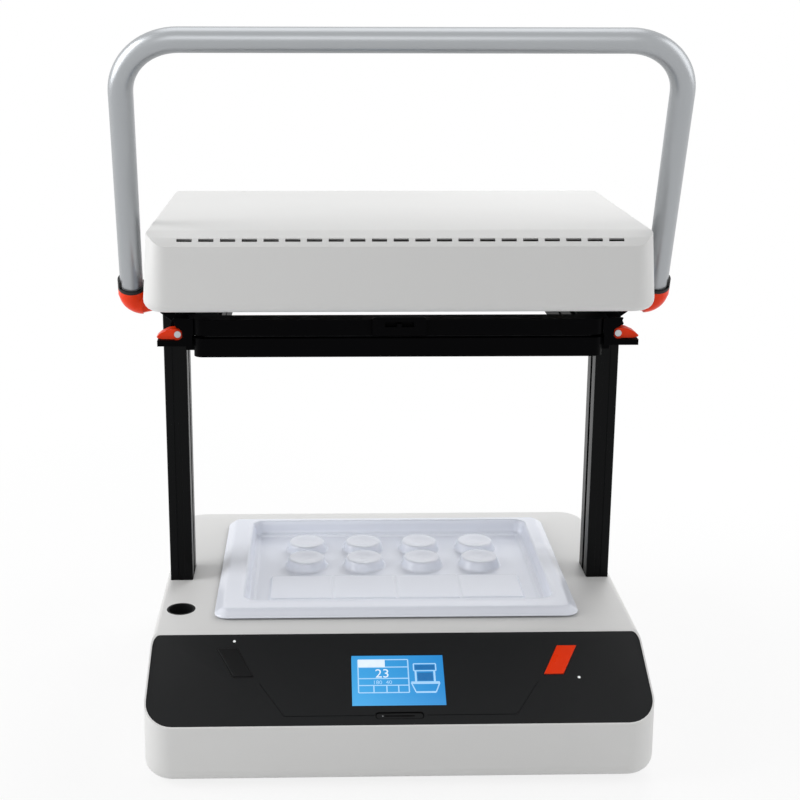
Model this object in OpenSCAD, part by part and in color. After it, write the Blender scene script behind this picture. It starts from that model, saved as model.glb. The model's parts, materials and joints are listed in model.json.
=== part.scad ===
// Dental vacuum former: a heated head on two columns, a clamping carriage that a bow
// handle pulls down over the vacuum bed, and a sloped control panel in front.
// The origin is at the middle of the footprint, on the surface that it stands on.

/* [Base] */
// Width of the base housing
base_w = 430; // [400:1:460]
// Depth of the base housing
base_d = 386; // [370:1:400]
// Height of the flat top above the lower edge of the housing
base_top = 95; // [90:1:105]
// Height of the upright front band below the sloped panel
band_h = 51; // [45:1:55]
// Depth of the sloped panel, measured level
slope_run = 90; // [80:1:95]
// Plan radius of the housing corners
base_corner = 26; // [20:1:32]
// Height of the rubber feet below the housing
foot_h = 3; // [2:0.5:6]

/* [Columns] */
// Outside span over both columns
column_span = 419; // [415:1:421]
// Width of a column profile
column_w = 21; // [20:1:22]
// Depth of a column profile
column_d = 38; // [36:1:40]
// Distance of the column faces from the front of the base
column_y = 204; // [200:1:210]

/* [Heater head] */
// Width of the head at its lower edge
head_w = 425; // [420:1:430]
// Depth of the head at its lower edge
head_d = 286; // [280:1:292]
// Height of the head
head_h = 66; // [64:0.5:68]
// Distance of the head from the front of the base
head_y = 70; // [66:1:74]
// Height of the head's lower edge over that of the base
head_z = 384; // [382:1:390]
// Slots along the upper front edge
slot_count = 21; // [15:1:23]

/* [Carriage] */
// Width of the clamp frames
frame_w = 344; // [336:1:345]
// Depth of the clamp frames
frame_d = 278; // [272:1:280]
// Width of the bar on each side of the window
frame_bar = 22; // [18:1:24]
// Height of the carriage's lower edge at the top of its travel
frame_z = 342; // [340:1:343]
// Travel of the carriage down to the bed
travel = 234; // [200:1:236]

/* [Handle] */
// Distance between the tube ends
handle_span = 462; // [460:1:466]
// Diameter of the handle tube
tube_d = 20; // [18:1:21]
// Forward lean of the handle
handle_lean = 27; // [26:0.5:28]
// Length of the handle along its lean
handle_rise = 241; // [236:1:244]
// Radius of the two bends
bend_r = 48; // [40:1:52]

/* [Formed sheet] */
// Width of the formed sheet
sheet_w = 328; // [322:1:334]
// Depth of the formed sheet
sheet_d = 238; // [232:1:242]
// Thickness of the sheet after forming
sheet_t = 1.2; // [1:0.1:2]

/* [Hidden] */
$fn = 64;
wall = 3;
eps = 0.01;
arc_steps = 5;
gap = 0.3;
fit = 0.4;
front = -base_d / 2;
slope_rise = base_top - band_h;
slope_a = atan2(slope_rise, slope_run);
slope_len = norm([slope_run, slope_rise]);
fascia_t = 3;
base_edge = 6;
base_foot_edge = 13;
base_draft = 1;
pan_t = 2;
bed_w = 306;
bed_d = 216;
bed_x = 0;
bed_y = 239;
bed_drop = 7;
bed_corner = 10;
bed_hole = 2.5;
bed_hole_pitch = 27;
gasket_w = 7;
gasket_t = 1.5;
bed_plate_t = 3;
head_corner = 22;
head_edge = 3;
head_low_edge = 9;
head_draft = 4.5;
head_wall = 2.5;
face_h = 55;
nose = 6.5;
brow_run = 12;
slot_w = 12.3;
slot_pitch = 17.57;
slot_h = 3.1;
slot_up = 4.7;
slot_reach = 14;
column_x = column_span / 2 - column_w;
column_top = head_z + 12;
column_foot = 62;
column_edge = 1.5;
block_over = 6;
groove_w = 8;
groove_h = 8;
mark_w = 6;
mark_h = 1;
core_in = 7;
core_r = 2.5;
frame_y = 94;
lower_h = 16;
seal_t = 1.2;
upper_h = 13.6;
upper_z = frame_z + lower_h + 2 * seal_t;
clamp_hinge_y = frame_y + frame_d + 7;
clamp_hinge_z = upper_z - seal_t;
pin_d = 6;
lever_x = 185.5;
lever_y = 108;
lever_w = 13;
lever_z = 360.3;
lever_pin_d = 4;
arm_y = 165;
socket_z = 388;
socket_r = 12;
leg_in = 2.6;
sheet_x = 2;
sheet_y = 232;
sheet_rim = 8;
sheet_lip = 2;

led_at = [[-141.7, 89.7], [153.8, 48.4]];
led_r = 1.3;
display_at = [-0.8, 47.3];
display_size = [79, 52];
display_sunk = 0.5;
pill_at = [-1, 11.5];
pill_len = 34.4;
pill_r = 3.5;
pill_sunk = 0.9;
button_top = 82;
button_low = 51.5;
button_x = [138.7, 156.2, 141.2, 123.9];
key_at = [140, 67];
key_w = 12;
key_h = 3;
key_tip = 0.8;
press = 1.2;
cut_depth = 20;
line_w = 0.8;
seam = [[22.5, 11.5], [97, 11.5], [118, 44]];
board_w = 330;
board_d = 84;
board_up = 54;
board_post = [[-155, 24], [155, 24], [-112, 88], [112, 88]];
pan_boss = [[-178, 44], [178, 44], [-178, 330], [178, 330]];
foot_r = 10;
screw_r = 2;
screw_head = 1.6;
pan_boss_r = 5;
pan_corner = 12;
pan_ledge = 15;
board_post_r = 3.5;
pan_w = 380;
pan_d = 346;
vent_w = 5;
vent_len = 60;
vent_pitch = 11;
sensor_x = -193.3;
sensor_y = 138.4;
sensor_r = 13;
sensor_depth = 34;
inlet_x = 110;
inlet_z = 42;
inlet_w = 66;
inlet_h = 34;
inlet_t = 2;
inlet_step = 6;
inlet_depth = 22;
socket_dx = 14;
recess_w = 24;
recess_h = 16.5;
recess_depth = 15;
blade_pitch = 14;
blade_t = 2;
blade_h = 4;
blade_len = 12;
rocker_dx = -20;
rocker_y = base_d - 6;
rocker_tilt = 8;
foot_at = [[-165, 50], [165, 50], [-165, 336], [165, 336]];
board_z = 12.4;
board_t = 1.6;
button_rise = 0.8;
button_flange = 3.3;
button_lip = 1.5;
stem_low = key_h + key_tip + press + 0.2 - board_z;
bed_z = base_top - bed_drop;
chamber_z = 52;
chamber_w = bed_w + 14;
chamber_d = bed_d + 14;
chamber_ledge = 12;
hose_x = 60;
hose_y = 262;
hose_r = 12;
hose_wall = 4;
hose_rib = 1.5;
motor_r = 40;
motor_low = 22;
motor_h = 40;
motor_lug = 12;
supply_at = [-150, 250];
supply_w = 112;
supply_d = 72;
supply_h = 38;
fin_pitch = 14;
fin_h = 2;
well_w = 14;
well_h = 23;
rocker_half = 6.6;
rocker_pin_r = 1.5;
rocker_pin = 17.2;
head_mid = head_y + head_d / 2;
bezel_w = head_w - 30;
bezel_d = head_d - 24;
bezel_t = 2;
bezel_corner = 14;
window_corner = 8;
wire_pitch = 26;
wire_r = 0.9;
window_w = 306;
window_d = 212;
pan_h = 36;
pan_out_w = window_w + 40;
pan_out_d = window_d + 30;
sheet_steel = 1.2;
element_r = 5;
element_z = 20;
element_count = 5;
element_pitch = 40;
holder_w = 12;
holder_h = 28;
board_h = 14;
terminal_w = 48;
terminal_d = 18;
terminal_h = 5.5;
clip_t = 2.3;
clip_over = 8;
clip_foot = 10.5;
nose_y = head_draft * face_h / head_h - head_d / 2;
brow_a = atan2(head_h - face_h - nose, brow_run);
frame_mid = frame_y + frame_d / 2;
half_frame = frame_w / 2;
lower_top = frame_z + lower_h;
lug_reach = 8;
lug_w = 9;
tongue_play = 0.2;
hinge_at = 112;
barrel_r = 6;
barrel_w = 11;
barrel_gap = 0.4;
lug_z = frame_z + 4;
lug_h = 9;
arm_w = 18;
arm_mid = 172;
arm_end = 207;
cup_t = 1;
cup_depth = 8;
cup_lip = 3;
elbow_r = 9.8;
collar = 0.5;
elbow_drop = 5.5;
tube_wall = 1.5;
hair = 0.02;
lap = 1;
boss_r = 7;
boss_z = frame_z + 32;
bend_x = handle_span / 2 - ((handle_rise - bend_r) * sin(leg_in) + bend_r) / cos(leg_in);
leg_len = (handle_rise - bend_r) / cos(leg_in) + bend_r * tan(leg_in);
tab_w = 45;
tab_window_w = 24;
tab_window_h = 4.2;
tab_top = upper_z + upper_h + 3;
tab_y = frame_y - 5;
cheek_t = 3;
cheek_play = 0.5;
pin_back = lever_w / 2 + cheek_play + cheek_t;
bracket_w = lever_w + 2 * cheek_play + 1;
shelf_x = 17;
shelf_t = 5;
shelf_drop = 4.8;
pocket_w = 282;
pocket_d = 198;
pocket_x = 3;
pocket_y = 5;
ledge_w = 7;
ledge_h = 1.3;
sheet_z = base_top + 1.6;
floor_z = bed_z;
cake_r = 20;
cake_h = 9;
cake_pitch = 57;
tile = 58;
tile_h = 3;

// The lowered carriage stays above the rim of the formed sheet
assert(frame_z - travel > base_top + sheet_rim + sheet_t);

// Frames of reference

// Positions from here on are taken from the front of the base and from its lower edge
module bench() translate([0, front, foot_h]) children();

// The sloped panel: x across, y up the slope, z out of it
module slope() bench() translate([0, 0, band_h]) rotate([slope_a, 0, 0]) children();

// The plane of the handle: x across, z up along its lean, from the tube ends
module lean() bench() translate([0, arm_y, socket_z]) rotate([handle_lean, 0, 0]) children();

module both_sides() for (side = [0, 1]) mirror([side, 0, 0]) children();

// Shapes that repeat

// A rectangle with round corners
module round_rect(w, d, r) {
    square([w - 2 * r, d], center = true);
    square([w, d - 2 * r], center = true);
    for (x = [-1, 1], y = [-1, 1])
        translate([x * (w / 2 - r), y * (d / 2 - r)]) circle(r);
}

module plate(w, d, t, r) linear_extrude(t) round_rect(w, d, r);

// A flat ring that follows a rectangle with round corners
module frame_ring(w, d, t, bar, r) {
    difference() {
        plate(w, d, t, r);
        translate([0, 0, -1]) plate(w - 2 * bar, d - 2 * bar, t + 2, max(r - bar / 2, 2));
    }
}

// Points along an arc about [x, y]
function arc(x, y, r, from, to) =
    [for (i = [0:arc_steps]) let (a = from + (to - from) * i / arc_steps) [x + r * cos(a), y + r * sin(a)]];

// Half of a moulded section: drafted side, round upper and lower edges
module half_section(half, h, top_r, low_r, draft) {
    a = atan2(draft, h);
    top_x = half - (h - top_r) * tan(a) - top_r / cos(a);
    low_x = half - low_r * tan(a) - low_r / cos(a);
    polygon([
        [0, 0], each arc(low_x, low_r, low_r, -90, a),
        each arc(top_x, h - top_r, top_r, a, 90), [0, h]
    ]);
}

// A moulded housing: drafted sides, round plan corners, round edges above and below
module moulded_box(w, d, h, corner, top_r, low_r, draft) hull()
    for (x = [-1, 1], y = [-1, 1])
        translate([x * (w / 2 - corner), y * (d / 2 - corner), 0])
            rotate_extrude($fn = 32) half_section(corner, h, top_r, low_r, draft);

// Base

module base_body(inset)
    translate([0, base_d / 2, inset])
        moulded_box(base_w - 2 * inset, base_d - 2 * inset, base_top - 2 * inset,
            base_corner - inset, base_edge - inset / 2, base_foot_edge - inset, base_draft);

// Everything above the sloped panel, sunk by depth, between two distances up the slope
module above_slope(depth, from, to)
    translate([0, 0, band_h]) rotate([slope_a, 0, 0])
        translate([-base_w, from, -depth]) cube([2 * base_w, to - from, 2 * base_top]);

module button_outline(grow) {
    top = button_top + grow;
    low = button_low - grow;
    polygon([
        [button_x[0] - grow, top], [button_x[1] + grow, top],
        [button_x[2] + grow, low], [button_x[3] - grow, low]
    ]);
}

module display_outline(grow)
    translate(display_at)
        square([display_size.x + 2 * grow, display_size.y + 2 * grow], center = true);

module pill_outline(grow) {
    translate(pill_at) {
        square([pill_len, 2 * (pill_r + grow)], center = true);
        for (x = [-1, 1]) translate([x * pill_len / 2, 0]) circle(pill_r + grow);
    }
}

module base_shell() color("gainsboro") bench() difference() {
    base_body(0);
    above_slope(0, -base_w, base_w);
    intersection() {
        above_slope(fascia_t, 2, slope_len);
        base_body(1.4);
    }
    difference() {
        base_body(wall);
        above_slope(fascia_t + wall, -base_w, base_w);
        for (p = pan_boss) translate([p.x, p.y, pan_t]) cylinder(r = pan_boss_r, h = base_top);
        for (p = board_post)
            translate([0, 0, band_h]) rotate([slope_a, 0, 0])
                translate([p.x, p.y, -board_z]) cylinder(r = board_post_r, h = cut_depth);
    }
    // Seat of the floor pan
    translate([0, base_d / 2, -1]) plate(pan_w + fit, pan_d + fit, pan_t + 1, pan_corner);
    translate([0, base_d / 2, -1])
        plate(pan_w - 2 * pan_ledge, pan_d - 2 * pan_ledge, wall + 2, pan_corner - 4);
    // Openings behind the panel
    translate([0, 0, band_h]) rotate([slope_a, 0, 0]) translate([0, 0, -cut_depth]) {
        linear_extrude(cut_depth) display_outline(5);
        both_sides() linear_extrude(cut_depth) button_outline(2);
        for (p = led_at) translate([p.x, p.y, 0]) cylinder(r = led_r + gap, h = cut_depth);
    }
    // Bed, columns and sensor
    translate([0, 0, base_top - cut_depth]) {
        translate([bed_x, bed_y, 0]) plate(bed_w, bed_d, 2 * cut_depth, bed_corner);
        both_sides() translate([column_x + column_w / 2, column_y + column_d / 2, 0])
            plate(column_w + fit, column_d + fit, 2 * cut_depth, column_edge + fit / 2);
        translate([sensor_x, sensor_y, 0]) cylinder(r = sensor_r, h = 2 * cut_depth);
    }
    // Panel of the mains inlet and the switch
    translate([inlet_x, base_d + 1, inlet_z]) rotate([90, 0, 0]) {
        plate(inlet_w, inlet_h, inlet_t + 1, 3);
        plate(inlet_w - inlet_step, inlet_h - inlet_step, wall + 5, 2);
    }
}

module base_pan() color("dimgray") bench() difference() {
    translate([0, base_d / 2, 0]) plate(pan_w, pan_d, pan_t, pan_corner);
    // Vents under the blower
    for (x = [-3:3]) translate([hose_x + x * vent_pitch, hose_y, -1])
        plate(vent_w, vent_len, pan_t + 2, vent_w / 2 - eps);
    for (p = pan_boss) translate([p.x, p.y, -1]) cylinder(r = screw_r, h = pan_t + 2);
}

module rubber_feet() color("black") bench()
    for (p = foot_at) translate([p.x, p.y, -foot_h]) cylinder(r = foot_r, h = foot_h);

module base_screws() color("silver") bench()
    for (p = pan_boss) translate([p.x, p.y, 0]) {
        translate([0, 0, -screw_head]) cylinder(r = 2 * screw_r, h = screw_head);
        cylinder(r = screw_r, h = pan_t);
    }

module groove(points)
    for (i = [0:len(points) - 2]) {
        run = points[i + 1] - points[i];
        translate([points[i].x, points[i].y, -0.5]) rotate([0, 0, atan2(run.y, run.x)])
            translate([-line_w / 2, -line_w / 2, 0]) cube([norm(run) + line_w, line_w, 1]);
    }

module control_fascia() color("darkslategray") difference() {
    bench() intersection() {
        above_slope(fascia_t, 2.2, slope_len - 0.2);
        base_body(1.6);
    }
    slope() {
        translate([-base_w, -base_w, 0]) cube([2 * base_w, 2 * base_w, base_top]);
        translate([0, 0, -cut_depth]) {
            linear_extrude(2 * cut_depth) display_outline(0);
            both_sides() linear_extrude(2 * cut_depth) button_outline(0);
            linear_extrude(2 * cut_depth) pill_outline(0);
            for (p = led_at) translate([p.x, p.y, 0]) cylinder(r = led_r, h = 2 * cut_depth);
        }
        both_sides() groove(seam);
    }
}

module display_module() color("steelblue") slope() {
    translate([0, 0, -fascia_t]) linear_extrude(fascia_t - display_sunk) display_outline(-fit / 2);
    translate([0, 0, -board_z]) linear_extrude(board_z - fascia_t) display_outline(3);
}

module control_board() color("darkgreen") slope() {
    translate([0, board_up, -board_z - board_t]) plate(board_w, board_d, board_t, 3);
    // Key switches under the two buttons
    both_sides() translate([key_at.x, key_at.y, -board_z]) {
        translate([-key_w / 2, -key_w / 2, 0]) cube([key_w, key_w, key_h]);
        translate([0, 0, key_h]) cylinder(r = 2, h = key_tip);
    }
}

module status_leds() color("white") slope()
    for (p = led_at) translate([p.x, p.y, -board_z]) cylinder(r = led_r - 0.05, h = board_z - 0.1);

module card_slot() color("black") slope()
    translate([0, 0, -fascia_t]) linear_extrude(fascia_t - pill_sunk) pill_outline(-fit / 2);

module push_button() {
    translate([0, 0, -button_flange]) linear_extrude(button_flange + button_rise)
        button_outline(-gap);
    translate([0, 0, -button_flange - button_lip]) linear_extrude(button_lip) button_outline(button_lip);
    translate([key_at.x, key_at.y, stem_low]) cylinder(r = 3, h = -button_flange - stem_low);
}

module left_button() color("black") slope() mirror([1, 0, 0]) push_button();
module right_button() color("orangered") slope() push_button();

// Vacuum bed and what is under it

module bed_plate() color("silver") bench() difference() {
    translate([bed_x, bed_y, bed_z - bed_plate_t])
        plate(bed_w - fit, bed_d - fit, bed_plate_t, bed_corner - fit / 2);
    for (x = [-5:5], y = [-3:3])
        translate([bed_x + x * bed_hole_pitch, bed_y + y * bed_hole_pitch, bed_z - bed_plate_t - 1])
            cylinder(d = bed_hole, h = bed_plate_t + 2, $fn = 24);
}

module bed_gasket() color("darkorange") bench()
    translate([bed_x, bed_y, base_top])
        frame_ring(bed_w + 2 * gasket_w, bed_d + 2 * gasket_w, gasket_t, gasket_w, 2 * gasket_w);

module vacuum_chamber() color("gray") bench() difference() {
    translate([bed_x, bed_y, chamber_z])
        plate(chamber_w, chamber_d, base_top - wall - chamber_z, bed_corner + 2);
    translate([bed_x, bed_y, chamber_z + wall])
        plate(bed_w - chamber_ledge, bed_d - chamber_ledge, base_top, bed_corner - 4);
    translate([bed_x, bed_y, bed_z - bed_plate_t]) plate(bed_w, bed_d, base_top, bed_corner);
    translate([hose_x, hose_y, chamber_z - 1]) cylinder(r = hose_r, h = wall + 2);
}

module vacuum_motor() color("dimgray") bench() translate([hose_x, hose_y, pan_t]) difference() {
    union() {
        cylinder(r = motor_r, h = motor_low);
        cylinder(r = motor_r - motor_lug, h = motor_h);
        for (a = [30:120:270]) rotate([0, 0, a])
            translate([motor_r - motor_lug / 2, -motor_lug / 2, 0]) cube([motor_lug + 2, motor_lug, 4]);
    }
    translate([0, 0, motor_low / 2]) cylinder(r = hose_r, h = motor_h);
}

module vacuum_hose() color("black") bench()
    translate([hose_x, hose_y, 0]) rotate_extrude() {
        translate([hose_r, pan_t + motor_h]) square([hose_wall, chamber_z - pan_t - motor_h]);
        for (i = [0:2]) translate([hose_r + hose_wall, pan_t + motor_h + 1 + 2 * i * hose_rib])
            square([hose_rib, hose_rib]);
    }

module power_supply() color("silver") bench()
    translate([supply_at.x, supply_at.y, pan_t]) difference() {
        cube([supply_w, supply_d, supply_h]);
        for (i = [0:6]) translate([fin_pitch * (i + 0.85), fin_pitch / 2, supply_h - fin_h])
            cube([fin_pitch / 2, supply_d - fin_pitch, 2 * fin_h]);
    }

// Mains inlet panel with the rocker switch, flush in the back of the base
module inlet_frame() bench() translate([inlet_x, base_d, inlet_z]) children();

module power_inlet() color("black") inlet_frame() difference() {
    rotate([90, 0, 0]) {
        plate(inlet_w - fit, inlet_h - fit, inlet_t, 3);
        plate(inlet_w - inlet_step - 2 * gap, inlet_h - inlet_step - 2 * gap, inlet_depth, 2);
    }
    // Socket recess round the three blades
    translate([socket_dx, 1, 0]) rotate([90, 0, 0])
        plate(recess_w, recess_h, recess_depth + 1, 4);
    // Well of the rocker
    translate([rocker_dx, 1, 0]) rotate([90, 0, 0]) plate(well_w, well_h, well_w + 1, 1);
    translate([rocker_dx - rocker_pin / 2 - fit, rocker_y - base_d, 0]) rotate([0, 90, 0])
        cylinder(r = rocker_pin_r + 0.05, h = rocker_pin + 2 * fit);
}

module inlet_blades() color("silver") inlet_frame()
    for (p = [[0, blade_h / 2], [-blade_pitch / 2, -blade_h / 2], [blade_pitch / 2, -blade_h / 2]])
        translate([socket_dx + p.x - blade_t / 2, -recess_depth, p.y - blade_h / 2])
            cube([blade_t, blade_len, blade_h]);

module main_switch() color("black") inlet_frame()
    translate([rocker_dx, rocker_y - base_d, 0]) rotate([rocker_tilt, 0, 0]) {
        rotate([90, 0, 90]) translate([0, 0, -rocker_half]) linear_extrude(2 * rocker_half)
            polygon([[-4, -9], [-4, 9], [4.4, 9.6], [3.2, 0], [4.4, -9.6]]);
        translate([-rocker_pin / 2, 0, 0]) rotate([0, 90, 0])
            cylinder(r = rocker_pin_r, h = rocker_pin);
    }

module sensor_well() color("black") bench()
    translate([sensor_x, sensor_y, base_top - sensor_depth]) difference() {
        cylinder(r = sensor_r, h = sensor_depth);
        translate([0, 0, wall]) cylinder(r = sensor_r - 2, h = sensor_depth);
    }

// Columns

module column_outline() difference() {
    translate([column_w / 2, column_d / 2]) round_rect(column_w, column_d, column_edge);
    // Guide groove towards the carriage, and a shallow groove in each other face
    translate([-1, column_d / 2 - groove_w / 2]) square([groove_h + 1, groove_w]);
    translate([column_w, column_d / 2]) square([2 * mark_h, mark_w], center = true);
    for (y = [0, column_d]) translate([column_w / 2, y]) square([mark_w, 2 * mark_h], center = true);
    for (y = [core_in, column_d - core_in]) translate([column_w / 2, y]) circle(core_r);
}

module right_column() color("black") bench()
    translate([column_x, column_y, column_foot])
        linear_extrude(column_top - column_foot) column_outline();

module left_column() color("black") mirror([1, 0, 0]) right_column();

module column_blocks() color("gray") bench() both_sides()
    translate([0, column_y + column_d + block_over, 0]) rotate([90, 0, 0])
        linear_extrude(column_d + 2 * block_over) polygon([
            [column_x - 2 * block_over, wall], [column_x, wall],
            [column_x + column_w, column_w], [column_x + column_w, column_foot],
            [column_x - 2, column_foot], [column_x - 2, column_foot - 14],
            [column_x - 2 * block_over, column_foot - 30]
        ]);

// Heater head

module at_head() bench() translate([0, head_mid, head_z]) children();

module column_ways(grow) both_sides()
    translate([column_x - grow, column_y - head_mid - grow, -1])
        cube([column_w + 2 * grow, column_d + 2 * grow, column_top - head_z + 1 + grow]);

// What the two slopes between the front face and the top take off, sunk by depth
module above_brow(depth)
    for (side = [0, 1], s = [[0, 45], [nose, brow_a]])
        mirror([0, side, 0]) translate([0, nose_y + s[0], face_h + s[0]]) rotate([s[1], 0, 0])
            translate([-head_w, -head_w, -depth]) cube([2 * head_w, 2 * head_w, head_w]);

module head_body(inset) difference() {
    translate([0, 0, inset])
        moulded_box(head_w - 2 * inset, head_d - 2 * inset, head_h - 2 * inset,
            head_corner - inset, head_edge - inset, head_low_edge - inset, head_draft);
    above_brow(inset);
}

module heater_cover() color("whitesmoke") at_head() difference() {
    head_body(0);
    head_body(head_wall);
    translate([0, 0, -1]) plate(bezel_w + fit, bezel_d + fit, head_wall + 2, bezel_corner);
    column_ways(gap);
    // Slots in the lower slope
    for (i = [0:slot_count - 1])
        translate([(i - (slot_count - 1) / 2) * slot_pitch, nose_y + slot_up, face_h + slot_up])
            rotate([135, 0, 0]) cube([slot_w, slot_reach, slot_h], center = true);
}

module heater_bezel() color("silver") at_head() difference() {
    plate(bezel_w, bezel_d, bezel_t, bezel_corner);
    translate([0, 0, -1]) plate(window_w, window_d, bezel_t + 2, window_corner);
    column_ways(gap);
}

module heater_grille() color("silver") at_head() {
    frame_ring(window_w - fit, window_d - fit, bezel_t, 5, window_corner - fit / 2);
    for (i = [-5:5]) translate([i * wire_pitch, window_d / 2 - 4, bezel_t / 2]) rotate([90, 0, 0])
        cylinder(r = wire_r, h = window_d - 8, $fn = 24);
}

module heater_reflector() color("silver") at_head() translate([0, 0, bezel_t]) {
    difference() {
        union() {
            plate(pan_out_w, pan_out_d, pan_h, 10);
            plate(pan_out_w + 8, pan_out_d + 10, sheet_steel, 12);
        }
        translate([0, 0, -1])
            plate(pan_out_w - 2 * sheet_steel, pan_out_d - 2 * sheet_steel, pan_h + 1 - sheet_steel, 8.8);
    }
}

module element_holders() color("antiquewhite") at_head() both_sides()
    translate([pan_out_w / 2 - sheet_steel - holder_w, 0, bezel_t]) difference() {
        translate([0, -element_count * element_pitch / 2, 0])
            cube([holder_w, element_count * element_pitch, holder_h]);
        for (i = [0:element_count - 1])
            translate([-1, (i - (element_count - 1) / 2) * element_pitch, element_z - bezel_t])
                rotate([0, 90, 0]) cylinder(r = element_r, h = holder_w + 2);
    }

module heater_elements() color("sienna") at_head()
    for (i = [0:element_count - 1])
        translate([0, (i - (element_count - 1) / 2) * element_pitch, element_z])
            rotate([0, 90, 0]) cylinder(r = element_r, h = pan_out_w - 10, center = true);

module heat_insulation() color("ivory") at_head() translate([0, 0, bezel_t + pan_h])
    plate(pan_out_w - 6, pan_out_d - 6, board_h, 10);

module terminal_block() color("antiquewhite") at_head()
    translate([90, 60, bezel_t + pan_h + board_h + terminal_h / 2]) difference() {
        cube([terminal_w, terminal_d, terminal_h], center = true);
        for (x = [-18:12:18], y = [-4.5, 4.5]) translate([x, y, -1]) cylinder(r = 2.2, h = terminal_h);
    }

// Steel clips that carry the head on the column tops, inside the head
module head_brackets() color("dimgray") at_head() both_sides() {
    translate([column_x - clip_t, column_y - head_mid - clip_over, bezel_t])
        cube([clip_t, column_d + 2 * clip_over, column_top - head_z - bezel_t]);
    for (y = [-clip_over, column_d + 2])
        translate([column_x - clip_foot, column_y - head_mid + y, bezel_t])
            cube([clip_foot, clip_over - 2, bezel_t]);
}

// Carriage

module at_frame(z) bench() translate([0, frame_mid, z]) children();

// Barrels of the rear hinge: the two outer ones or the middle one of each pair
module hinge_barrels(outer) both_sides() bench()
    for (step = outer ? [-1, 1] : [0])
        translate([hinge_at + step * (barrel_w + barrel_gap) - barrel_w / 2,
            clamp_hinge_y, clamp_hinge_z]) rotate([0, 90, 0]) children();

module barrel(bore) difference() {
    union() {
        cylinder(r = barrel_r, h = barrel_w);
        children();
    }
    translate([0, 0, -1]) cylinder(r = bore, h = barrel_w + 2);
}

// Web from a barrel to its frame, below or above the hinge line
module barrel_web(side) {
    low = side > 0 ? 1.4 : -barrel_r;
    high = side > 0 ? barrel_r : -1.4;
    translate([-high, -barrel_r - 2, 0]) cube([high - low, barrel_r + 2, barrel_w]);
}

module lower_frame() color("black") {
    difference() {
        at_frame(frame_z) frame_ring(frame_w, frame_d, lower_h, frame_bar, 8);
        // Channel below the seal
        at_frame(lower_top - 2) frame_ring(frame_w - 12, frame_d - 12, 3, 3, 6);
    }
    hinge_barrels(true) barrel(pin_d / 2) barrel_web(-1);
    both_sides() bench() {
        // Lug beside the toe of the latch lever
        translate([half_frame - 1, lever_y - lug_w / 2, lug_z]) cube([lug_reach, lug_w, lug_h]);
        // Stiffening ledge towards the slider
        translate([half_frame - 1, column_y - 8, frame_z]) cube([4, column_d + 16, 5]);
    }
}

module lower_seal() color("dimgray") at_frame(lower_top)
    frame_ring(frame_w - 14, frame_d - 14, seal_t, frame_bar - 9, 5);

module slider_outline() {
    polygon([
        [half_frame, frame_z + 5], [half_frame + 3, frame_z + 5], [half_frame + 3, frame_z],
        [column_x - gap, frame_z], [column_x - gap, frame_z + 36],
        [half_frame + 4, frame_z + 36], [half_frame + 2, frame_z + 32],
        [half_frame + 2, lower_top + 1], [half_frame, lower_top - 1]
    ]);
}

module slider() bench() {
    translate([0, column_y + column_d - 3, 0]) rotate([90, 0, 0])
        linear_extrude(column_d - 6) slider_outline();
    translate([column_x - gap - 1, column_y + column_d / 2 - groove_w / 2 + tongue_play, frame_z])
        cube([groove_h + 1 - gap, groove_w - 2 * tongue_play, 36]);
}

module right_slider() color("black") slider();
module left_slider() color("black") mirror([1, 0, 0]) slider();

// Arms that carry the handle sockets, in front of the columns

module handle_arm() bench() translate([0, arm_mid + arm_w / 2, 0]) rotate([90, 0, 0])
    linear_extrude(arm_w) polygon([
        [half_frame, frame_z + 3], [half_frame + 8, frame_z + 3], [arm_end, frame_z + 23],
        [arm_end, frame_z + 39], [arm_end - 12, frame_z + 39], [half_frame + 3, frame_z + 26],
        [half_frame + 3, lower_top], [half_frame, lower_top]
    ]);

module right_arm() color("black") handle_arm();
module left_arm() color("black") mirror([1, 0, 0]) handle_arm();

// Handle

// Frame of the right tube end: z up along the leg
module leg() lean() translate([handle_span / 2, 0, 0]) rotate([0, -leg_in, 0]) children();

module elbow_outline() intersection() {
    translate([elbow_r, 0]) circle(socket_r - collar);
    translate([0, -socket_r]) square([elbow_r + socket_r, 2 * socket_r]);
}

// A quarter bend below the tube end, and a cone that seats on the arm
module socket() difference() {
    union() {
        leg() {
            translate([0, 0, -elbow_drop - lap]) cylinder(r = socket_r, h = elbow_drop + lap);
            translate([-elbow_r, 0, -elbow_drop]) rotate([-90, 0, 0])
                rotate_extrude(angle = 90) elbow_outline();
        }
        bench() translate([arm_end, arm_mid, boss_z]) rotate([0, 90, 0])
            cylinder(r1 = boss_r, r2 = socket_r - 2 * collar,
                h = handle_span / 2 - arm_end - elbow_r + 6 * collar);
    }
    leg() translate([0, 0, -cup_depth]) cylinder(r = tube_d / 2 + cup_t, h = cup_depth + 1);
}

module right_socket() color("orangered") socket();
module left_socket() color("orangered") mirror([1, 0, 0]) socket();

module socket_cup() leg() difference() {
    union() {
        translate([0, 0, -cup_depth]) cylinder(r = tube_d / 2 + cup_t, h = cup_depth + 1);
        cylinder(r = socket_r, h = cup_lip);
        // Tongue up the outer side of the tube
        intersection() {
            cylinder(r = socket_r, h = 3 * cup_lip);
            translate([tube_d / 2 - 3, -6, 0]) cube([8, 12, 3 * cup_lip]);
        }
    }
    translate([0, 0, -cup_depth + 2]) cylinder(r = tube_d / 2, h = cup_depth + 20);
}

module right_socket_cup() color("black") socket_cup();
module left_socket_cup() color("black") mirror([1, 0, 0]) socket_cup();

module tube_ring(shrink) difference() {
    circle(tube_d / 2 - shrink);
    circle(tube_d / 2 - tube_wall + shrink);
}

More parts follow.
